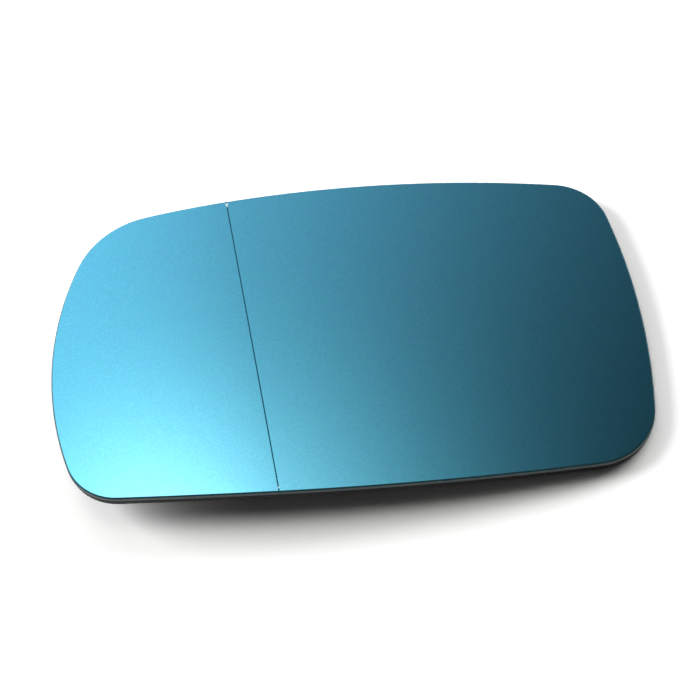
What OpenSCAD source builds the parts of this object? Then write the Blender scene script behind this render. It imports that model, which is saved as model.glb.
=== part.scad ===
// Left-hand wide-angle mirror glass for a car door, on its snap-in carrier plate.
// X runs along the glass towards the car, Y towards its upper edge and +Z out of its face.
// The origin is in the middle of the pilot collar, on the plane of the collar's rear end.

/* [Glass] */
// Width of the glass, end to end
glass_w = 180; // [165:1:200]
// Height of the glass, lower edge to upper edge
glass_h = 109; // [100:1:120]
// Thickness of the glass
glass_t = 2; // [1.8:0.1:3]
// Width of the small bevel round the front of the ground edge
arris_w = 0.4; // [0.2:0.1:0.6]

/* [Outline] */
// How far the outer end bows out
outer_bow = 12; // [8:0.5:15]
// How far the inner end, next to the car, bows out
inner_bow = 5.8; // [4:0.1:9]
// How far the upper edge bows up
upper_bow = 6.2; // [4:0.1:9]
// How far the lower edge bows down
lower_bow = 4.6; // [3:0.1:8]
// How far the outer end leans in from bottom to top
outer_lean = 8; // [0:0.5:14]
// How far the inner end leans in from bottom to top
inner_lean = 4; // [0:0.5:10]
// How much higher the upper edge is at its inner end than at its outer end
upper_rise = 3.4; // [0:0.2:6]
// Radius of the lower outer corner
lower_outer_r = 17; // [12:0.5:26]
// Radius of the lower inner corner
lower_inner_r = 21; // [12:0.5:26]
// Radius of the upper inner corner
upper_inner_r = 17; // [12:0.5:26]
// Radius of the upper outer corner
upper_outer_r = 28; // [16:0.5:32]

/* [Curvature] */
// Radius of the main zone of the convex face
main_r = 1260; // [1000:10:2000]
// Radius of the outer zone, across the dividing line
outer_zone_r = 600; // [300:10:900]
// Tilt of the face towards the car, off square with the collar, in degrees
face_tilt = 3.4; // [0:0.2:3.4]
// Distance of the dividing line from the middle of the collar
line_offset = 31.3; // [20:0.1:50]
// Lean of the dividing line, in degrees
line_lean = 5.3; // [-8:0.1:8]
// Width of the etched dividing line
line_w = 0.4; // [0.3:0.1:0.8]
// Depth of the etched dividing line
line_depth = 0.1; // [0.05:0.05:0.2]

/* [Heater] */
// Thickness of the heating foil with its adhesive
foil_t = 0.4; // [0.3:0.1:0.8]
// Thickness of the adhesive film behind the foil
film_t = 0.2; // [0.1:0.1:0.4]
// Distance of the foil and the film from the edge of the glass
film_inset = 4.4; // [4.2:0.2:8]
// Width of each terminal blade
tab_w = 6.3; // [4.8:0.1:6.3]
// Thickness of the terminal blades
tab_t = 0.8; // [0.5:0.1:0.8]
// Length of the straight part of each blade
blade_l = 8.5; // [7:0.5:10]
// Space between the plate and the blade, for the cable's receptacle
blade_gap = 2.6; // [2.4:0.1:3]
// Distance of the rivets from the middle of the collar, along the glass
rivet_x = 44; // [43:0.5:50]
// Distance between the two rivets
rivet_pitch = 18; // [16:0.5:22]

/* [Carrier plate] */
// Thickness of the plate
plate_t = 1.4; // [1.2:0.1:2]
// Distance of the plate's edge from the edge of the glass
plate_inset = 0.4; // [0:0.1:1.5]
// Width of the seating lip that bears on the glass
lip_w = 3.2; // [2:0.1:3.4]
// Height of the stiffening ribs
rib_h = 2.4; // [1:0.1:3]
// Thickness of the stiffening ribs
rib_t = 1.2; // [0.8:0.1:1.6]
// Distance of the perimeter rib from the edge of the glass
rib_inset = 9; // [7:0.5:14]

/* [Collar and hooks] */
// Height of the pilot collar behind the plate
collar_h = 8.5; // [8.5:0.5:12]
// Inner radius of the pilot collar
collar_r = 19; // [16:0.5:20]
// Thickness of the pilot collar's wall
collar_wall = 2; // [1.5:0.1:2.5]
// Inner radius of the ring of snap hooks
hook_ring_r = 31; // [30:0.5:32]
// Number of snap hooks
hook_count = 6; // [4:1:8]
// Angle that each hook spans, in degrees
hook_span = 24; // [16:1:28]
// Thickness of the hooks
hook_t = 1.6; // [1.2:0.1:2]
// How far each hook's lip reaches in
hook_lip = 1.2; // [0.8:0.1:1.6]

/* [Hidden] */

// Distance of the glass's middle from the collar's axis
GLASS_SHIFT = -2;
ROUND_FN = 96;
FACE_FN = 720;

// Layers, as depths below the front face
GLASS_REAR = glass_t;
FOIL_REAR = GLASS_REAR + foil_t;
PLATE_FRONT = FOIL_REAR + film_t;
PLATE_REAR = PLATE_FRONT + plate_t;
FACE_TOP = collar_h + PLATE_REAR;
// The main zone's centre lies off the axis of the collar, which tilts the face
FACE_CENTRE = [-main_r * sin(face_tilt), 0, FACE_TOP - main_r * cos(face_tilt)];
LINE_TILT = asin((line_offset + FACE_CENTRE[0] * cos(line_lean)) / main_r);

// The face is swept past the glass on every side before the outline trims it
MAIN_REACH = glass_w;
OUTER_REACH = glass_w / 2;
SWEEP = 10;
BLOCK_H = FACE_TOP + glass_w / 2 * sin(face_tilt) + 2;

// Steps along each corner round and along each bowed edge
CORNER_STEPS = 16;
EDGE_STEPS = 12;
ARRIS_REACH = 0.5;

// Heater terminals
BEND_R = 0.6;
FOOT_L = 7;
RIVET_R = 1.2;
RIVET_BORE_R = 0.7;
RIVET_HEAD_R = 2;
RIVET_HEAD_T = 0.3;
FLANGE_R = 2.4;
FLANGE_T = 0.2;
DETENT_R = 0.9;
TIP_BEVEL = 1.2;
WINDOW_MARGIN = 1.4;
WINDOW_R = 1.5;
BLADE_TOP = film_t + plate_t + blade_gap;
// Flat feet and flanges clear the curved faces they sit on by this much
SEAT_GAP = 0.01;

// Carrier plate, with its collar and hooks rooted this far inside it
ROOT_RISE = 0.4 * plate_t;
MID_PLATE = PLATE_FRONT + 0.5 * plate_t;
RIB_COUNT = 8;
// The ribs stop this far short of the plane that the collar's end rests on
RIB_CLEAR = 0.5;
COLLAR_BEVEL = 0.5;
// The collar's floor is square to its axis and stands proud of the lowest part of the tilted plate
FLOOR_RISE = 0.4;
FLOOR_Z = collar_h - collar_r * sin(face_tilt) - FLOOR_RISE;
HOOK_FOOT_GAP = 0.6;
HOOK_LIP_T = 0.9;
HOOK_RING_GAP = 1.8;

// Sharp corners of the outline before rounding, lower outer first and on round anticlockwise
OUTER_X = -glass_w / 2 + outer_bow;
INNER_X = glass_w / 2 - inner_bow;
LOWER_Y = -glass_h / 2 + lower_bow;
UPPER_Y = glass_h / 2 - upper_bow;
CORNERS = [
    [OUTER_X - outer_lean / 2, LOWER_Y],
    [INNER_X + inner_lean / 2, LOWER_Y],
    [INNER_X - inner_lean / 2, UPPER_Y + upper_rise / 2],
    [OUTER_X + outer_lean / 2, UPPER_Y - upper_rise / 2]
];
BOWS = [lower_bow, inner_bow, upper_bow, outer_bow];
CORNER_RADII = [lower_outer_r, lower_inner_r, upper_inner_r, upper_outer_r];

function heading(v) = atan2(v[1], v[0]);

// Circle whose arc from p to q bows out by b on the right of the way: [centre, radius]
function bowed_edge(p, q, b) =
    let (
        chord = q - p,
        half = norm(chord) / 2,
        radius = (half * half + b * b) / (2 * b),
        out = [chord[1], -chord[0]] / (2 * half)
    )
    [(p + q) / 2 - out * (radius - b), radius];

// Centre of the circle of radius r that touches two edge circles from inside, at the corner next to a point
function corner_centre(edge_a, edge_b, r, corner) =
    let (
        way = edge_b[0] - edge_a[0],
        span = norm(way),
        reach_a = edge_a[1] - r,
        reach_b = edge_b[1] - r,
        along = (reach_a * reach_a - reach_b * reach_b + span * span) / (2 * span),
        aside = sqrt(reach_a * reach_a - along * along),
        foot = edge_a[0] + way * along / span,
        side = [-way[1], way[0]] * aside / span
    )
    norm(foot + side - corner) < norm(foot - side - corner) ? foot + side : foot - side;

EDGES = [for (i = [0:3]) bowed_edge(CORNERS[i], CORNERS[(i + 1) % 4], BOWS[i])];
ROUNDS = [for (i = [0:3]) corner_centre(EDGES[(i + 3) % 4], EDGES[i], CORNER_RADII[i], CORNERS[i])];

// Points on an arc from heading a to heading b, anticlockwise, without the last one
function arc_points(centre, r, a, b, steps) =
    let (turn = (b - a + 360) % 360)
    [for (k = [0:steps - 1]) centre + r * [cos(a + turn * k / steps), sin(a + turn * k / steps)]];

// The outline, set in from the edge of the glass by a given distance
function outline_points(inset) = [
    for (i = [0:3])
        let (
            before = EDGES[(i + 3) % 4],
            edge = EDGES[i],
            entry = heading(ROUNDS[i] - before[0]),
            exit = heading(ROUNDS[i] - edge[0]),
            next_entry = heading(ROUNDS[(i + 1) % 4] - edge[0])
        )
        each concat(
            arc_points(ROUNDS[i], CORNER_RADII[i] - inset, entry, exit, CORNER_STEPS),
            arc_points(edge[0], edge[1] - inset, exit, next_entry, EDGE_STEPS)
        )
];

// Depth of a point below the front face
function depth_at(p) =
    let (
        q = p - FACE_CENTRE,
        across = q[0] * cos(line_lean) + q[1] * sin(line_lean),
        along = q[1] * cos(line_lean) - q[0] * sin(line_lean),
        past_line = across * cos(LINE_TILT) + q[2] * sin(LINE_TILT),
        up = q[2] * cos(LINE_TILT) - across * sin(LINE_TILT),
        swing = norm([along, up])
    )
    past_line >= 0
        ? main_r - norm([swing, past_line])
        : outer_zone_r - norm([swing - main_r + outer_zone_r, past_line]);

// Height of the surface that lies at a given depth below the front face
function face_z(x, y, depth, z = FACE_TOP, rounds = 5) =
    rounds == 0 ? z : face_z(x, y, depth, z + depth_at([x, y, z]) - depth, rounds - 1);

// Section of a layer of the mirror, with the dividing line at the height of the X axis
module layer_section(front, rear) {
    intersection() {
        difference() {
            circle(r = main_r - front, $fn = FACE_FN);
            circle(r = main_r - rear, $fn = FACE_FN);
        }
        translate([main_r - rear - OUTER_REACH, 0])
            square([rear + 2 * OUTER_REACH, MAIN_REACH]);
    }
    intersection() {
        translate([main_r - outer_zone_r, 0])
            difference() {
                circle(r = outer_zone_r - front, $fn = FACE_FN);
                circle(r = outer_zone_r - rear, $fn = FACE_FN);
            }
        translate([main_r - rear - OUTER_REACH, -OUTER_REACH])
            square([rear + 2 * OUTER_REACH, OUTER_REACH]);
    }
}

// Section of the etched line, an arc of the given width and depth
module line_section() {
    r = (line_w * line_w / 4 + line_depth * line_depth) / (2 * line_depth);
    translate([main_r + r - line_depth, 0])
        circle(r = r, $fn = ROUND_FN);
}

// Turns a section into a curved layer. One sweep makes both zones, so the outer zone leaves the
// main zone with no step and no kink along the dividing line.
module sweep_face() {
    translate(FACE_CENTRE)
        rotate([0, 0, line_lean])
            rotate([0, 90 - LINE_TILT, 0])
                rotate([0, 0, 180 - SWEEP / 2])
                    rotate_extrude(angle = SWEEP, $fn = FACE_FN)
                        children();
}

module curved_layer(front, rear) {
    sweep_face()
        layer_section(front, rear);
}

module outline(inset) {
    translate([GLASS_SHIFT, 0])
        polygon(outline_points(inset));
}

module outline_block(inset) {
    linear_extrude(BLOCK_H)
        outline(inset);
}

// Ring with a three-sided section that cuts the bevel round the front of the ground edge. Its
// stations lie midway between the points of the outline.
module arris_cutter() {
    rim = outline_points(0);
    count = len(rim);
    points = [
        for (i = [0:count - 1])
            let (
                way = rim[(i + 1) % count] - rim[i],
                out = [way[1], -way[0]] / norm(way),
                edge = rim[i] + way / 2 + [GLASS_SHIFT, 0],
                top = edge - out * arris_w,
                z = face_z(top[0], top[1], 0),
                inner = top - out * ARRIS_REACH,
                outer = edge + out * ARRIS_REACH
            )
            each [
                [inner[0], inner[1], z + ARRIS_REACH],
                [outer[0], outer[1], z - arris_w - ARRIS_REACH],
                [outer[0], outer[1], z + ARRIS_REACH]
            ]
    ];
    faces = [
        for (i = [0:count - 1])
            for (k = [0:2])
                let (
                    a = 3 * i + k,
                    b = 3 * i + (k + 1) % 3,
                    c = 3 * ((i + 1) % count) + (k + 1) % 3,
                    d = 3 * ((i + 1) % count) + k
                )
                each [[a, b, c], [a, c, d]]
    ];
    polyhedron(points = points, faces = faces, convexity = 4);
}

module mirror_glass() {
    color("#4d9fba")
        difference() {
            intersection() {
                sweep_face()
                    difference() {
                        layer_section(0, GLASS_REAR);
                        line_section();
                    }
                outline_block(0);
            }
            arris_cutter();
        }
}

// Puts children on the rear of the foil at a rivet, with their Z along the face's normal there
module at_rivet(side) {
    y = side * rivet_pitch / 2;
    normal = [rivet_x, y, face_z(rivet_x, y, FOIL_REAR)] - FACE_CENTRE;
    translate([rivet_x, y, face_z(rivet_x, y, FOIL_REAR)])
        rotate(a = acos(normal[2] / norm(normal)), v = [-normal[1], normal[0], 0])
            children();
}

module heater_foil() {
    color("#b5793a")
        difference() {
            intersection() {
                curved_layer(GLASS_REAR, FOIL_REAR);
                outline_block(film_inset);
            }
            for (side = [-1, 1])
                at_rivet(side) {
                    translate([0, 0, -foil_t])
                        cylinder(r = RIVET_R, h = 3 * foil_t, $fn = ROUND_FN);
                    translate([0, 0, foil_t - SEAT_GAP - FLANGE_T])
                        cylinder(r = FLANGE_R, h = foil_t, $fn = ROUND_FN);
                }
        }
}

module rounded_slab(size, r, h) {
    linear_extrude(h)
        translate(-size / 2) {
            translate([r, 0])
                square([size[0] - 2 * r, size[1]]);
            translate([0, r])
                square([size[0], size[1] - 2 * r]);
            for (x = [r, size[0] - r], y = [r, size[1] - r])
                translate([x, y])
                    circle(r = r, $fn = ROUND_FN);
        }
}

// Openings through which the terminals leave the foil
module terminal_windows() {
    size = [FOOT_L + tab_t + BEND_R + 2 * WINDOW_MARGIN, tab_w + 2 * WINDOW_MARGIN];
    for (side = [-1, 1])
        translate([rivet_x + (tab_t + BEND_R) / 2, side * rivet_pitch / 2])
            rounded_slab(size, WINDOW_R, BLOCK_H);
}

module adhesive_film() {
    color("#e8e6de")
        difference() {
            intersection() {
                curved_layer(FOIL_REAR, PLATE_FRONT);
                outline_block(film_inset);
            }
            terminal_windows();
        }
}

// Plate with the recess that takes the foil and film, and the lip that seats the glass
module plate_skin() {
    difference() {
        intersection() {
            curved_layer(GLASS_REAR, PLATE_REAR);
            outline_block(plate_inset);
        }
        intersection() {
            curved_layer(0, PLATE_FRONT);
            outline_block(plate_inset + lip_w);
        }
    }
}

// Ribs that follow the curve of the plate: one round the edge, one round the hooks, and spokes between them
module ribs() {
    ring_r = hook_ring_r + hook_t + HOOK_RING_GAP;
    intersection() {
        curved_layer(MID_PLATE, PLATE_REAR + rib_h);
        translate([0, 0, RIB_CLEAR])
            linear_extrude(BLOCK_H) {
                difference() {
                    outline(rib_inset);
                    outline(rib_inset + rib_t);
                }
                difference() {
                    circle(r = ring_r + rib_t, $fn = ROUND_FN);
                    circle(r = ring_r, $fn = ROUND_FN);
                }
                intersection() {
                    outline(rib_inset + rib_t / 2);
                    for (k = [0:RIB_COUNT - 1])
                        rotate(360 * (k + 0.5) / RIB_COUNT)
                            translate([ring_r + rib_t / 2, -rib_t / 2])
                                square([glass_w, rib_t]);
                }
            }
    }
}

module pilot_collar() {
    r = collar_r + collar_wall;
    rotate_extrude($fn = ROUND_FN)
        polygon([
            [0, BLOCK_H],
            [0, FLOOR_Z],
            [collar_r, FLOOR_Z],
            [collar_r, 0],
            [r - COLLAR_BEVEL, 0],
            [r, COLLAR_BEVEL],
            [r, BLOCK_H]
        ]);
}

// One elastic hook: a curved wall with a lip that snaps behind the rim of the adjuster
module snap_hook() {
    tip = HOOK_FOOT_GAP;
    rotate([0, 0, -hook_span / 2])
        rotate_extrude(angle = hook_span, $fn = ROUND_FN)
            polygon([
                [hook_ring_r, BLOCK_H],
                [hook_ring_r, tip + hook_lip + HOOK_LIP_T],
                [hook_ring_r - hook_lip, tip + hook_lip + HOOK_LIP_T],
                [hook_ring_r - hook_lip, tip + hook_lip],
                [hook_ring_r, tip],
                [hook_ring_r + hook_t, tip],
                [hook_ring_r + hook_t, BLOCK_H]
            ]);
}

module each_hook() {
    for (k = [0:hook_count - 1])
        rotate([0, 0, 360 * (k + 0.5) / hook_count])
            children();
}

// Collar and hooks, rooted at one depth in the tilted plate
module snap_mount() {
    intersection() {
        union() {
            pilot_collar();
            each_hook()
                snap_hook();
        }
        translate([0, 0, collar_h])
            rotate([0, face_tilt, 0])
                translate([-glass_w / 2, -glass_w / 2, ROOT_RISE - glass_w])
                    cube(glass_w);
    }
}

// Slot in the plate in front of a hook's lip, left by the core that moulds the undercut
module core_slot() {
    rotate([0, 0, -hook_span / 2])
        rotate_extrude(angle = hook_span, $fn = ROUND_FN)
            translate([hook_ring_r - hook_lip, collar_h / 2])
                square([hook_lip, BLOCK_H]);
}

module carrier_plate() {
    color("#17191c")
        difference() {
            union() {
                plate_skin();
                ribs();
                snap_mount();
            }
            each_hook()
                core_slot();
            terminal_windows();
        }
}

// Quarter of a bent strip's corner, about the middle of its bend
module strip_bend(quarter) {
    r = BEND_R + tab_t;
    rotate(90 * quarter)
        intersection() {
            difference() {
                circle(r = r, $fn = ROUND_FN);
                circle(r = BEND_R, $fn = ROUND_FN);
            }
            square(r);
        }
}

// Side view of a terminal: foot on the foil, step back through the window, then the blade
module tab_section() {
    first_bend = [FOOT_L / 2 - tab_t - BEND_R, -tab_t - BEND_R];
    second_bend = [FOOT_L / 2 + BEND_R, -BLADE_TOP + BEND_R];
    translate([-FOOT_L / 2, -tab_t])
        square([FOOT_L / 2 + first_bend[0], tab_t]);
    translate(first_bend)
        strip_bend(0);
    translate([FOOT_L / 2 - tab_t, second_bend[1]])
        square([tab_t, first_bend[1] - second_bend[1]]);
    translate(second_bend)
        strip_bend(2);
    translate([second_bend[0], -BLADE_TOP - tab_t])
        square([blade_l, tab_t]);
}

module terminal_tab(side) {
    tip_x = FOOT_L / 2 + BEND_R + blade_l;
    color("#c9a545")
        at_rivet(side)
            translate([0, 0, -SEAT_GAP])
                difference() {
                    translate([0, tab_w / 2, 0])
                        rotate([90, 0, 0])
                            linear_extrude(tab_w)
                                tab_section();
                    translate([0, 0, -2 * tab_t])
                        cylinder(r = RIVET_R, h = 4 * tab_t, $fn = ROUND_FN);
                    translate([tip_x - blade_l / 2, 0, -BLADE_TOP - 2 * tab_t])
                        cylinder(r = DETENT_R, h = 3 * tab_t, $fn = ROUND_FN);
                    for (edge = [-1, 1])
                        translate([tip_x, edge * tab_w / 2, -BLADE_TOP - 2 * tab_t])
                            rotate([0, 0, 45])
                                translate([-TIP_BEVEL / 2, -TIP_BEVEL / 2])
                                    cube([TIP_BEVEL, TIP_BEVEL, 3 * tab_t]);
                }
}

module terminal_tab_upper() {
    terminal_tab(1);
}

module terminal_tab_lower() {
    terminal_tab(-1);
}

// Hollow rivets: a thin flange sunk into the front of the foil and a rolled head behind the tab
module terminal_rivets() {
    head_z = -SEAT_GAP - tab_t - RIVET_HEAD_T;
    front_z = foil_t - SEAT_GAP;
    color("#b08d3c")
        for (side = [-1, 1])
            at_rivet(side)
                difference() {
                    union() {
                        translate([0, 0, front_z - FLANGE_T])
                            cylinder(r = FLANGE_R, h = FLANGE_T, $fn = ROUND_FN);
                        translate([0, 0, head_z])
                            cylinder(r = RIVET_R, h = front_z - head_z, $fn = ROUND_FN);
                        translate([0, 0, head_z])
                            cylinder(r = RIVET_HEAD_R, h = RIVET_HEAD_T, $fn = ROUND_FN);
                    }
                    translate([0, 0, 2 * head_z])
                        cylinder(r = RIVET_BORE_R, h = 4 * tab_t, $fn = ROUND_FN);
                }
}

mirror_glass();
heater_foil();
adhesive_film();
carrier_plate();
terminal_tab_upper();
terminal_tab_lower();
terminal_rivets();
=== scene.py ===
# Looks of a car door mirror glass, in the part's own frame. Sizes are in millimetres and meshes in metres.
import math

import bmesh
import bpy
import numpy as np
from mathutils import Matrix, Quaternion, Vector


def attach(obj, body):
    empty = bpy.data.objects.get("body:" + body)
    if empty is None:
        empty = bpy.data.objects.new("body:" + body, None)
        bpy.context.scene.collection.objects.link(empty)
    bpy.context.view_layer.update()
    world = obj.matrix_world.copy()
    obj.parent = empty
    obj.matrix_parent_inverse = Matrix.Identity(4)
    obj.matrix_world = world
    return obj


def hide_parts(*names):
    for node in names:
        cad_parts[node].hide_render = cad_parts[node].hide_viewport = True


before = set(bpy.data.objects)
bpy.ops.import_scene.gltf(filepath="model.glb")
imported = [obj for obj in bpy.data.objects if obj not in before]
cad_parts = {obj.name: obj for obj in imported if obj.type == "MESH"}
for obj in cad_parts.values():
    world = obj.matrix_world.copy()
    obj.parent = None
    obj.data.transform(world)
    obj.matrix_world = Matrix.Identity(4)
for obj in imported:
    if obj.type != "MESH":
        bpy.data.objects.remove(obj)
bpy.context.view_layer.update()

MM = 0.001

# The part's own sizes
GLASS_W, GLASS_H, GLASS_T, ARRIS_W = 180.0, 109.0, 2.0, 0.4
OUTER_BOW, INNER_BOW, UPPER_BOW, LOWER_BOW = 12.0, 5.8, 6.2, 4.6
OUTER_LEAN, INNER_LEAN, UPPER_RISE = 8.0, 4.0, 3.4
CORNER_RADII = (17.0, 21.0, 17.0, 28.0)
MAIN_R, OUTER_ZONE_R, LINE_OFFSET, LINE_LEAN = 1260.0, 600.0, 31.3, math.radians(5.3)
LINE_W, LINE_DEPTH = 0.4, 0.1
FACE_TOP, FACE_TILT, GLASS_SHIFT = 12.5, math.radians(3.4), -2.0
FACE_CENTRE = (-MAIN_R * math.sin(FACE_TILT), 0, FACE_TOP - MAIN_R * math.cos(FACE_TILT))
LINE_TILT = math.asin((LINE_OFFSET + FACE_CENTRE[0] * math.cos(LINE_LEAN)) / MAIN_R)

# Rounding of the ground edges
EDGE_ROUND = 0.05

# How far up the ground edge the black of the rear face reaches, so that the edge is darker at its foot
DARK_FOOT_HEIGHT = 0.5

# Painted glints at the lower and upper ends of the line, drawn as small matt white spots: how far in, how
# deep, and their size across and along it
GLINT_INSET, GLINT_DEPTH, GLINT_SIZES = 1.5, 4, ((0.2, 0.3), (0.38, 0.85))
# White of the painted glints
GLINT_WHITE = (0.8, 0.92, 0.93)

GLASS_IOR = 1.52

# Parts of the mesh round the rim, and rings from the middle of each face to its core
CORNER_STEPS, EDGE_STEPS = 40, (64, 44, 64, 44)
CENTRE_RINGS, REAR_RINGS = 38, 8

# Distances of the core and of the finer rings outside it from the edge of the glass
CORE_INSET, REAR_INSETS, FRONT_INSETS = 12, (5, 1.5, 0.4), (0.7, 1.2, 2, 3.5, 5.5, 8.5)

# Places of the cuts across the etched line, and how close to a surface a point counts as on it
LINE_COLUMNS, NEAR = (-0.2, -0.15, -0.08, 0, 0.08, 0.15, 0.2), 0.02

# Steps in which points are laid on the face and sunk into the line, and the cuts' own tolerance in metres
SETTLE_STEPS, SINK_STEPS, WELD = 6, 4, 1e-8


def arc(centre, radius, start, turn, steps):
    angles = start + turn * np.arange(steps) / steps
    return centre + radius * np.column_stack([np.cos(angles), np.sin(angles)])


def bowed_edge(p, q, bow):
    chord = q - p
    half = np.linalg.norm(chord) / 2
    radius = (half * half + bow * bow) / (2 * bow)
    out = np.array([chord[1], -chord[0]]) / (2 * half)
    return (p + q) / 2 - out * (radius - bow), radius


def corner_centre(edge_a, edge_b, radius, corner):
    way = edge_b[0] - edge_a[0]
    span = np.linalg.norm(way)
    reach_a, reach_b = edge_a[1] - radius, edge_b[1] - radius
    along = (reach_a**2 - reach_b**2 + span**2) / (2 * span)
    aside = math.sqrt(reach_a**2 - along**2)
    foot = edge_a[0] + way * along / span
    side = np.array([-way[1], way[0]]) * aside / span
    return min([foot + side, foot - side], key=lambda c: np.linalg.norm(c - corner))


def heading(v):
    return math.atan2(v[1], v[0])


def outline_arcs():
    outer_x, inner_x = OUTER_BOW - GLASS_W / 2, GLASS_W / 2 - INNER_BOW
    lower_y, upper_y = LOWER_BOW - GLASS_H / 2, GLASS_H / 2 - UPPER_BOW
    corners = [
        np.array([outer_x - OUTER_LEAN / 2, lower_y]),
        np.array([inner_x + INNER_LEAN / 2, lower_y]),
        np.array([inner_x - INNER_LEAN / 2, upper_y + UPPER_RISE / 2]),
        np.array([outer_x + OUTER_LEAN / 2, upper_y - UPPER_RISE / 2]),
    ]
    bows = (LOWER_BOW, INNER_BOW, UPPER_BOW, OUTER_BOW)
    edges = [bowed_edge(corners[i], corners[(i + 1) % 4], bows[i]) for i in range(4)]
    rounds = [corner_centre(edges[i - 1], edges[i], CORNER_RADII[i], corners[i]) for i in range(4)]
    arcs = []
    for i in range(4):
        entry = heading(rounds[i] - edges[i - 1][0])
        leave = heading(rounds[i] - edges[i][0])
        end = heading(rounds[(i + 1) % 4] - edges[i][0])
        arcs.append((rounds[i], CORNER_RADII[i], entry, (leave - entry) % (2 * math.pi), CORNER_STEPS))
        arcs.append((edges[i][0], edges[i][1], leave, (end - leave) % (2 * math.pi), EDGE_STEPS[i]))
    return arcs


ARCS = outline_arcs()


def outline(inset):
    rings = [arc(centre, radius - inset, start, turn, steps) for centre, radius, start, turn, steps in ARCS]
    return np.vstack(rings) + [GLASS_SHIFT, 0]


def outward():
    return np.vstack([arc(0, 1, start, turn, steps) for _, _, start, turn, steps in ARCS])


def line_frame(p):
    x, y, z = (p - FACE_CENTRE).T
    across = x * math.cos(LINE_LEAN) + y * math.sin(LINE_LEAN)
    along = y * math.cos(LINE_LEAN) - x * math.sin(LINE_LEAN)
    past = across * math.cos(LINE_TILT) + z * math.sin(LINE_TILT)
    up = z * math.cos(LINE_TILT) - across * math.sin(LINE_TILT)
    return past, along, up


def depth_at(p):
    past, along, up = line_frame(p)
    swing = np.hypot(along, up)
    main = MAIN_R - np.hypot(swing, past)
    outer = OUTER_ZONE_R - np.hypot(swing - MAIN_R + OUTER_ZONE_R, past)
    return np.where(past >= 0, main, outer)


def groove_depth(p):
    past = line_frame(p)[0]
    r = (LINE_W**2 / 4 + LINE_DEPTH**2) / (2 * LINE_DEPTH)
    inside = np.abs(past) < LINE_W / 2
    return np.where(inside, np.sqrt(np.maximum(r * r - past * past, 0)) - (r - LINE_DEPTH), 0)


def on_surface(xy, depth):
    p = np.column_stack([xy, np.full(len(xy), FACE_TOP)])
    for _ in range(SETTLE_STEPS):
        p[:, 2] += depth_at(p) - depth
    return p


def line_ends(inset):
    """Where the dividing line crosses the outline at an inset, lower end first."""
    rim = on_surface(outline(inset), 0)
    past = line_frame(rim)[0]
    after = np.roll(past, -1)
    cut = np.flatnonzero(past * after < 0)
    share = (past / (past - after))[cut, None]
    ends = rim[cut] * (1 - share) + np.roll(rim, -1, axis=0)[cut] * share
    return ends[np.argsort(ends[:, 1])]


def surface_normal(p, field):
    step = 0.01
    slope = np.column_stack([
        field(p + np.eye(3)[k] * step) - field(p - np.eye(3)[k] * step) for k in range(3)
    ])
    return -slope / np.linalg.norm(slope, axis=1, keepdims=True)


# Faces of the glass, by material
COATED, ARRIS, GROUND, ETCHED, REAR = range(5)


def face_rings(spots, depth, material):
    """Rings on the front face, or on the rear one at the glass's thickness, with their normals."""
    rings = []
    for xy in spots:
        p = on_surface(xy, depth)
        normal = surface_normal(p, depth_at)
        rings.append((p, normal if depth == 0 else -normal, material))
    return rings


def edge_rings():
    """Rings up the ground edge, darker at its foot in the rear face's black, and over the arris."""
    out = np.column_stack([outward(), np.zeros(len(outward()))])
    bevel = (out + np.array([0, 0, 1.0])) / math.sqrt(2)
    top = on_surface(outline(ARRIS_W), 0)[:, 2]
    foot = on_surface(outline(0), GLASS_T)[:, 2] + EDGE_ROUND
    wall = ((foot, REAR), (foot + DARK_FOOT_HEIGHT, REAR), (top - ARRIS_W - EDGE_ROUND, GROUND))
    rings = [(np.column_stack([outline(0), z]), out, material) for z, material in wall]
    for inset in (EDGE_ROUND, ARRIS_W - EDGE_ROUND):
        rings.append((np.column_stack([outline(inset), top - ARRIS_W + inset]), bevel, ARRIS))
    return rings


def glass_rings():
    """Rings of the pane, from the middle of its rear round the edge to the middle of its front. Each has its
    points, their normals, and the material of the strip that ends there."""
    middle, core = np.array([GLASS_SHIFT, 0]), outline(CORE_INSET)
    rear = [middle + (core - middle) * k / REAR_RINGS for k in range(1, REAR_RINGS)]
    rear += [outline(inset) for inset in (CORE_INSET, *REAR_INSETS, EDGE_ROUND)]
    front = [outline(inset) for inset in (ARRIS_W + EDGE_ROUND, *FRONT_INSETS, CORE_INSET)]
    front += [middle + (core - middle) * k / CENTRE_RINGS for k in range(CENTRE_RINGS - 1, 0, -1)]
    return face_rings(rear, GLASS_T, REAR) + edge_rings() + face_rings(front, 0, COATED)


def add_vertex(bm, normals, point, normal):
    v = bm.verts.new(Vector(point) * MM)
    v[normals] = normal
    return v


def skin_rings(bm, normals, rings):
    """Joins each ring to the next one."""
    grid = [[add_vertex(bm, normals, p, n) for p, n in zip(points, shade)] for points, shade, _ in rings]
    for k in range(1, len(grid)):
        last, this = grid[k - 1], grid[k]
        for i in range(len(this)):
            j = (i + 1) % len(this)
            bm.faces.new((last[i], last[j], this[j], this[i])).material_index = rings[k][2]
    return grid


def close_face(bm, normals, row, depth, material):
    """Joins the innermost ring of a face to a point in its middle."""
    p = on_surface(np.mean([v.co[:2] for v in row], axis=0)[None] / MM, depth)
    normal = surface_normal(p, depth_at)[0]
    centre = add_vertex(bm, normals, p[0], normal if depth == 0 else -normal)
    for i in range(len(row)):
        pair = (row[i], row[(i + 1) % len(row)])
        if depth > 0:
            pair = pair[::-1]
        bm.faces.new((*pair, centre)).material_index = material


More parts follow.
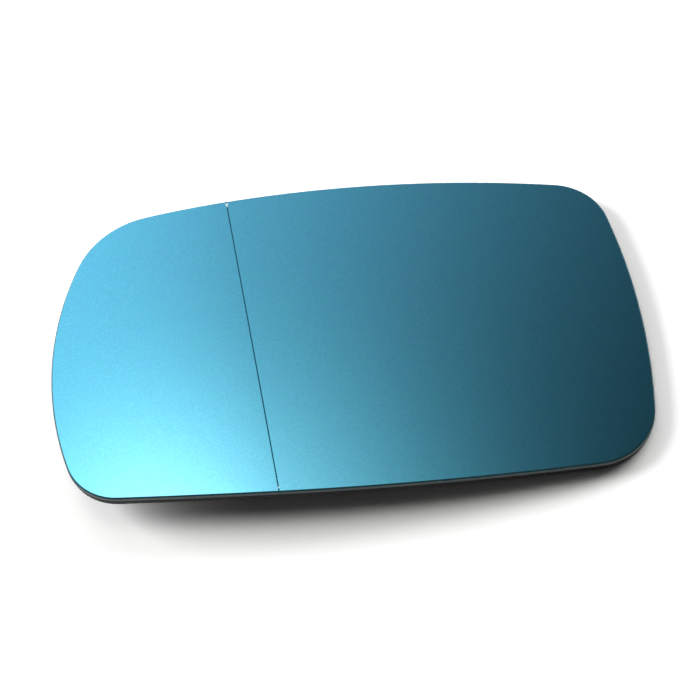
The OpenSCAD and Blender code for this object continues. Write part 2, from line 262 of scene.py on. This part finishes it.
def cut_line(bm):
    """Cuts the front of the pane along the etched line, at each of its columns."""
    turn = Vector((
        math.cos(LINE_TILT) * math.cos(LINE_LEAN),
        math.cos(LINE_TILT) * math.sin(LINE_LEAN),
        math.sin(LINE_TILT),
    ))
    anchor = Vector(FACE_CENTRE) * MM
    for column in LINE_COLUMNS:
        front = [f for f in bm.faces if f.material_index in (COATED, ARRIS)]
        geom = front + list({e for f in front for e in f.edges}) + list({v for f in front for v in f.verts})
        bmesh.ops.bisect_plane(bm, geom=geom, dist=WELD, plane_co=anchor + turn * column * MM, plane_no=turn)


def sink_line(bm, normals):
    """Puts the front back on its curves, sinks the line's bed into it, and returns every vertex's normal."""
    bm.verts.ensure_lookup_table()
    points = np.array([v.co for v in bm.verts]) / MM
    depth, groove = depth_at(points), groove_depth(points)
    on_face, sunk = depth < NEAR, depth < groove
    target = np.where(sunk, groove, np.where(on_face, 0, depth))
    move = on_face | sunk
    for _ in range(SINK_STEPS):
        points[move, 2] += (depth_at(points) - target)[move]
    past = line_frame(points)[0]
    bed = sunk & (np.abs(past) < LINE_W / 2 - NEAR)
    shade = np.array([v[normals] for v in bm.verts])
    shade[on_face] = surface_normal(points, depth_at)[on_face]
    shade[bed] = surface_normal(points, lambda q: depth_at(q) - groove_depth(q))[bed]
    for v, p in zip(bm.verts, points):
        v.co = Vector(p) * MM
    bm.verts.index_update()
    for f in bm.faces:
        if f.material_index in (COATED, ARRIS):
            ids = [v.index for v in f.verts]
            if np.all(np.abs(past[ids]) < LINE_W / 2 + NEAR / 2) and np.any(bed[ids]):
                f.material_index = ETCHED
    return shade


def piece(name, mesh):
    obj = bpy.data.objects.new(name, mesh)
    bpy.context.scene.collection.objects.link(obj)
    return obj


def build_glass(materials):
    bm = bmesh.new()
    normals = bm.verts.layers.float_vector.new("shade")
    grid = skin_rings(bm, normals, glass_rings())
    close_face(bm, normals, grid[0], GLASS_T, REAR)
    close_face(bm, normals, grid[-1], 0, COATED)
    cut_line(bm)
    shade = sink_line(bm, normals)
    mesh = bpy.data.meshes.new("glass_pane")
    bm.to_mesh(mesh)
    bm.free()
    for material in materials:
        mesh.materials.append(material)
    mesh.shade_smooth()
    mesh.normals_split_custom_set_from_vertices([Vector(n).normalized() for n in shade])
    return piece("glass_pane", mesh)


# Nodes of the materials, where scales of noise are per metre
def new_material(name):
    material = bpy.data.materials.new(name)
    material.use_nodes = True
    tree = material.node_tree
    return material, tree, tree.nodes["Principled BSDF"]


def node(tree, kind, **settings):
    made = tree.nodes.new(kind)
    for key, value in settings.items():
        setattr(made, key, value)
    return made


def feed(tree, value, socket):
    """Links another node's output to an input, or sets the input to a plain value."""
    if isinstance(value, bpy.types.NodeSocket):
        tree.links.new(value, socket)
    else:
        socket.default_value = value


def fill(tree, made, values):
    """Feeds a node's inputs by their names."""
    for name, value in values.items():
        feed(tree, value, made.inputs[name])


def number(tree, operation, *values):
    """Arithmetic on numbers."""
    made = node(tree, "ShaderNodeMath", operation=operation)
    for value, socket in zip(values, made.inputs):
        feed(tree, value, socket)
    return made.outputs["Value"]


def vector(tree, operation, *values, scale=None):
    """Arithmetic on vectors or colours. LENGTH and DOT_PRODUCT give a number."""
    made = node(tree, "ShaderNodeVectorMath", operation=operation)
    for value, socket in zip(values, made.inputs):
        feed(tree, value, socket)
    if scale is not None:
        feed(tree, scale, made.inputs["Scale"])
    return made.outputs["Value" if operation in ("LENGTH", "DOT_PRODUCT") else "Vector"]


def own_place(tree):
    return node(tree, "ShaderNodeTexCoord").outputs["Object"]


def noise(tree, scale, detail=2.0, stretch=(1, 1, 1), roughness=0.5):
    mapping = node(tree, "ShaderNodeMapping")
    fill(tree, mapping, {"Vector": own_place(tree), "Scale": stretch})
    made = node(tree, "ShaderNodeTexNoise")
    place = mapping.outputs["Vector"]
    fill(tree, made, {"Vector": place, "Scale": scale, "Detail": detail, "Roughness": roughness})
    return made.outputs["Fac"]


def between(tree, factor, low, high, start=0.3, end=0.7):
    """Runs from low to high as the factor goes from start to end."""
    made = node(tree, "ShaderNodeMapRange")
    fill(tree, made, {"Value": factor, "From Min": start, "From Max": end, "To Min": low, "To Max": high})
    return made.outputs["Result"]


def colours(tree, factor, low, high, start=0.3, end=0.7):
    """Runs from one colour to another as the factor goes from start to end."""
    ramp = node(tree, "ShaderNodeValToRGB")
    for element, position, colour in zip(ramp.color_ramp.elements, (start, end), (low, high)):
        element.position = position
        element.color = (*colour, 1)
    tree.links.new(factor, ramp.inputs["Fac"])
    return ramp.outputs["Color"]


def blend(tree, factor, first, second):
    """First colour where the factor is 0, second where it is 1. Either may be a socket."""
    made = node(tree, "ShaderNodeMix", data_type="RGBA")
    tree.links.new(factor, made.inputs["Factor"])
    for name, colour in (("A", first), ("B", second)):
        socket = [i for i in made.inputs if i.name == name and i.type == "RGBA"][0]
        feed(tree, (*colour, 1) if isinstance(colour, tuple) else colour, socket)
    return [o for o in made.outputs if o.type == "RGBA"][0]


def bump(tree, shader, height, distance, strength=1.0):
    made = node(tree, "ShaderNodeBump")
    fill(tree, made, {"Height": height, "Distance": distance, "Strength": strength})
    tree.links.new(made.outputs["Normal"], shader.inputs["Normal"])
    return made


def scaled(colour, factor):
    return tuple(c * factor for c in colour)


def painted_glint_mask(tree):
    """One inside the painted glints at the line's two ends, white spots which are longer along the line than
    across it.
    """
    ragged = between(tree, noise(tree, 2500, 2), -0.2, 0.2)
    turn = node(tree, "ShaderNodeVectorRotate", rotation_type="Z_AXIS")
    fill(tree, turn, {"Vector": own_place(tree), "Angle": -LINE_LEAN})
    masks = []
    for centre, (across, along) in zip(line_ends(GLINT_INSET), GLINT_SIZES):
        middle = Quaternion((0, 0, 1), -LINE_LEAN) @ (Vector(centre) * MM)
        away = vector(tree, "SUBTRACT", turn.outputs["Vector"], middle)
        shrunk = vector(tree, "DIVIDE", away, (across * MM, along * MM, GLINT_DEPTH * MM))
        reach = number(tree, "ADD", vector(tree, "LENGTH", shrunk), ragged)
        masks.append(between(tree, reach, 1.0, 0.0, 0.8, 1.1))
    return number(tree, "MAXIMUM", *masks)


def paint_glints(tree, shader, colour, mask):
    """Lays the white of the painted glints over the surface's own colour."""
    feed(tree, blend(tree, mask, colour, GLINT_WHITE), shader.inputs["Base Color"])


def seen_itself(tree):
    """One for rays that show a surface or its mirror image, zero for the light that it throws."""
    rays = node(tree, "ShaderNodeLightPath").outputs
    direct = number(tree, "MAXIMUM", rays["Is Camera Ray"], rays["Is Glossy Ray"])
    return number(tree, "MAXIMUM", direct, rays["Is Transmission Ray"])


# Materials
def coated_material():
    """Blue reflecting coat under clear glass, with a fine grain and a faint drift of its tint."""
    material, tree, shader = new_material("blue_coat")
    tint, drift = (0.116, 0.645, 0.95), (0.112, 0.67, 0.93)
    mottle = between(tree, noise(tree, 260, 2), 0.0, 1.0)
    grain = noise(tree, 1400, 1.5)
    shades = [colours(tree, grain, scaled(tone, 0.93), scaled(tone, 1.05)) for tone in (tint, drift)]
    # Painted glints at the line's ends, where the coat turns white and not metallic
    glints = painted_glint_mask(tree)
    paint_glints(tree, shader, blend(tree, mottle, *shades), glints)
    fill(tree, shader, {
        "Roughness": between(tree, noise(tree, 90, 3), 0.05, 0.09),
        "Metallic": between(tree, glints, 1.0, 0.0, 0.0, 1.0),
        "Coat Weight": 1.0,
        "Coat Roughness": 0.03,
        "Coat IOR": GLASS_IOR,
    })
    return material


def ground_material(name, low, high, roughness, with_glints=False, specular=0.5):
    """Glass ground with a fine wheel: streaks along the edge and a faint sparkle."""
    material, tree, shader = new_material(name)
    streaks = colours(tree, noise(tree, 900, 3, (1, 1, 3.5), 0.6), low, high)
    # Painted glints at the line's ends, laid over the arris
    if with_glints:
        paint_glints(tree, shader, streaks, painted_glint_mask(tree))
    else:
        feed(tree, streaks, shader.inputs["Base Color"])
    fill(tree, shader, {
        "Roughness": between(tree, noise(tree, 2500, 2), roughness - 0.08, roughness + 0.08),
        "IOR": GLASS_IOR,
        "Specular IOR Level": specular,
    })
    bump(tree, shader, noise(tree, 3500, 2), 0.00002)
    return material


def etched_material():
    """Frosted bed of the dividing line."""
    material, tree, shader = new_material("etched_line")
    frost = colours(tree, noise(tree, 6000, 2), (0.012, 0.095, 0.145), (0.02, 0.125, 0.185))
    # Painted glints at the line's ends, laid over the line's own frost
    paint_glints(tree, shader, frost, painted_glint_mask(tree))
    fill(tree, shader, {"Roughness": 0.6, "Specular IOR Level": 0.2})
    return material


def plastic_material():
    """Black moulded plastic with a spark-eroded grain, and edges worn a little rounder."""
    material, tree, shader = new_material("black_moulding")
    grain = noise(tree, 2600, 3, roughness=0.6)
    patches = noise(tree, 60, 3)
    fill(tree, shader, {
        "Base Color": colours(tree, patches, (0.004, 0.0045, 0.005), (0.008, 0.009, 0.01)),
        "Roughness": between(tree, patches, 0.42, 0.56),
        "Specular IOR Level": 0.2,
    })
    rounded = node(tree, "ShaderNodeBevel", samples=6)
    rounded.inputs["Radius"].default_value = 0.00025
    made = bump(tree, shader, grain, 0.00006, 0.8)
    tree.links.new(rounded.outputs["Normal"], made.inputs["Normal"])
    return material


def foil_material():
    """Heating foil: pale film with dark printed tracks that run to and fro, and a black cut edge."""
    material, tree, shader = new_material("printed_foil")
    wave = node(tree, "ShaderNodeTexWave", wave_type="BANDS", bands_direction="Y")
    fill(tree, wave, {"Vector": own_place(tree), "Scale": 60, "Distortion": 0.0})
    tracks = colours(tree, wave.outputs["Fac"], (0.32, 0.2, 0.09), (0.62, 0.56, 0.42), 0.45, 0.5)
    side = node(tree, "ShaderNodeNewGeometry").outputs["Normal"]
    upright = number(tree, "ABSOLUTE", vector(tree, "DOT_PRODUCT", side, (0, 0, 1)))
    face = between(tree, upright, 0.0, 1.0, 0.3, 0.6)
    fill(tree, shader, {
        "Base Color": blend(tree, face, (0.008, 0.009, 0.01), tracks),
        "Roughness": between(tree, noise(tree, 300, 2), 0.35, 0.5),
    })
    bump(tree, shader, wave.outputs["Fac"], 0.00003, 0.5)
    return material


def film_material():
    """White double-sided film with a soft mottle."""
    material, tree, shader = new_material("white_film")
    mottle = noise(tree, 700, 3)
    fill(tree, shader, {
        "Base Color": colours(tree, mottle, (0.72, 0.71, 0.66), (0.8, 0.79, 0.75)),
        "Roughness": 0.55,
    })
    bump(tree, shader, mottle, 0.00002)
    return material


def brass_material(name, low, high, roughness):
    """Rolled brass: lines along the strip and a slight tarnish."""
    material, tree, shader = new_material(name)
    lines = noise(tree, 500, 4, (1, 12, 1))
    fill(tree, shader, {
        "Base Color": colours(tree, noise(tree, 220, 3), low, high),
        "Roughness": between(tree, lines, roughness - 0.06, roughness + 0.08),
        "Metallic": 1.0,
    })
    bump(tree, shader, lines, 0.00001)
    return material


def dress(name, material):
    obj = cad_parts[name]
    obj.data.materials.clear()
    obj.data.materials.append(material)


glass = build_glass([
    coated_material(),
    ground_material("arris_ground", (0.012, 0.06, 0.07), (0.03, 0.1, 0.115), 0.32, with_glints=True),
    ground_material("edge_ground", (0.05, 0.07, 0.075), (0.11, 0.14, 0.145), 0.5),
    etched_material(),
    # Black of the rear face, which also darkens the foot of the ground edge
    ground_material("rear_paint", (0.004, 0.0045, 0.005), (0.008, 0.0085, 0.009), 0.6, specular=0.15),
])
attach(glass, "root")
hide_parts("mirror_glass")

dress("carrier_plate", plastic_material())
dress("heater_foil", foil_material())
dress("adhesive_film", film_material())
terminal_brass = brass_material("tab_brass", (0.72, 0.5, 0.2), (0.83, 0.62, 0.3), 0.3)
dress("terminal_tab_upper", terminal_brass)
dress("terminal_tab_lower", terminal_brass)
dress("terminal_rivets", brass_material("rivet_brass", (0.6, 0.42, 0.18), (0.74, 0.54, 0.27), 0.36))


# Floor: a white sheet that reaches past every view, and half its width in metres
FLOOR_HALF = 12.0

# How much lighter the floor's colour is to the camera and in reflections than in the light that it throws
FLOOR_WHITE = 1.45


def build_floor():
    bm = bmesh.new()
    corners = ((-1, -1), (1, -1), (1, 1), (-1, 1))
    bm.faces.new([bm.verts.new((x * FLOOR_HALF, y * FLOOR_HALF, 0)) for x, y in corners])
    mesh = bpy.data.meshes.new("floor")
    bm.to_mesh(mesh)
    bm.free()
    material, tree, shader = new_material("pale_floor")
    fibre = colours(tree, noise(tree, 30, 3), (0.955, 0.948, 0.938), (0.97, 0.964, 0.955))
    lift = between(tree, seen_itself(tree), 1.0, FLOOR_WHITE, 0.0, 1.0)
    fill(tree, shader, {
        "Base Color": vector(tree, "SCALE", fibre, scale=lift),
        "Roughness": 0.8,
        "Specular IOR Level": 0.1,
    })
    mesh.materials.append(material)
    obj = piece("floor", mesh)


build_floor()


# Glows of the room: azimuth, elevation, tightness, colour, and whether only camera and reflections see it
GLOWS = (
    (-30.5, 72.7, 35.0, (2.0, 2.03, 1.9), False),
    (-30.5, 72.7, 80.0, (3.1, 0.55, 0.25), True),
    (-26.0, 35.0, 8.9, (1.04, 1.05, 1.12), False),
    (175.0, 25.0, 3.0, (0.08, 0.08, 0.08), False),
)

# Two wide windows: azimuth, elevation, distance and width in metres, and power
WINDOW_COLOUR = (0.99, 1.0, 1.0)
WINDOWS = {
    "left_window": (-73.7, 23.5, 3.0, 1.72, 113),
    "right_window": (44.0, 14.0, 5.0, 5.0, 320),
}


def unit(azimuth, elevation):
    a, e = math.radians(azimuth), math.radians(elevation)
    return (math.sin(a) * math.cos(e), math.cos(a) * math.cos(e), math.sin(e))


def soft_glow(tree, way, azimuth, elevation, tightness, colour):
    """Colour that fades on all sides of one direction, the faster the tighter it is."""
    off = number(tree, "SUBTRACT", vector(tree, "DOT_PRODUCT", way, unit(azimuth, elevation)), 1.0)
    fade = number(tree, "EXPONENT", number(tree, "MULTIPLY", off, tightness))
    return vector(tree, "SCALE", colour, scale=fade)


def build_world():
    world = bpy.data.worlds.new("room")
    bpy.context.scene.world = world
    world.use_nodes = True
    tree = world.node_tree
    way = node(tree, "ShaderNodeTexCoord").outputs["Generated"]
    total = None
    for azimuth, elevation, tightness, colour, only_seen in GLOWS:
        glow = soft_glow(tree, way, azimuth, elevation, tightness, colour)
        if only_seen:
            glow = vector(tree, "SCALE", glow, scale=seen_itself(tree))
        total = glow if total is None else vector(tree, "ADD", total, glow)
    tree.links.new(total, tree.nodes["Background"].inputs["Color"])


def build_window(name, azimuth, elevation, distance, width, power):
    data = bpy.data.lights.new(name, "AREA")
    data.shape = "DISK"
    data.size = width
    data.energy = power
    data.color = WINDOW_COLOUR
    obj = bpy.data.objects.new(name, data)
    bpy.context.scene.collection.objects.link(obj)
    back = Vector(unit(azimuth, elevation))
    obj.location = back * distance
    obj.rotation_euler = back.to_track_quat("Z", "Y").to_euler()
    obj.visible_glossy = False
    obj.visible_camera = False


build_world()
for window_name, window in WINDOWS.items():
    build_window(window_name, *window)


# Camera, at the photograph's viewing angle. Degrees and millimetres, and the focal length in its pixels.
CAMERA_AZIMUTH, CAMERA_ELEVATION, CAMERA_ROLL = -0.098, 57.2, -5.714
CAMERA_AIM, CAMERA_DISTANCE = (-2.02, -6.371, 10), 607.55
FOCAL_PIXELS, PHOTO_PIXELS, SENSOR_WIDTH = 2010, 700, 36


def build_camera():
    back = Vector(unit(180 - CAMERA_AZIMUTH, CAMERA_ELEVATION))
    data = bpy.data.cameras.new("camera")
    data.sensor_width = SENSOR_WIDTH
    data.lens = FOCAL_PIXELS * SENSOR_WIDTH / PHOTO_PIXELS
    data.clip_start = 0.01
    obj = bpy.data.objects.new("camera", data)
    bpy.context.scene.collection.objects.link(obj)
    obj.location = (Vector(CAMERA_AIM) + back * CAMERA_DISTANCE) * MM
    obj.rotation_mode = "QUATERNION"
    obj.rotation_quaternion = Quaternion(back, math.radians(CAMERA_ROLL)) @ back.to_track_quat("Z", "Y")
    bpy.context.scene.camera = obj


build_camera()
bpy.context.scene.view_settings.view_transform = "Standard"
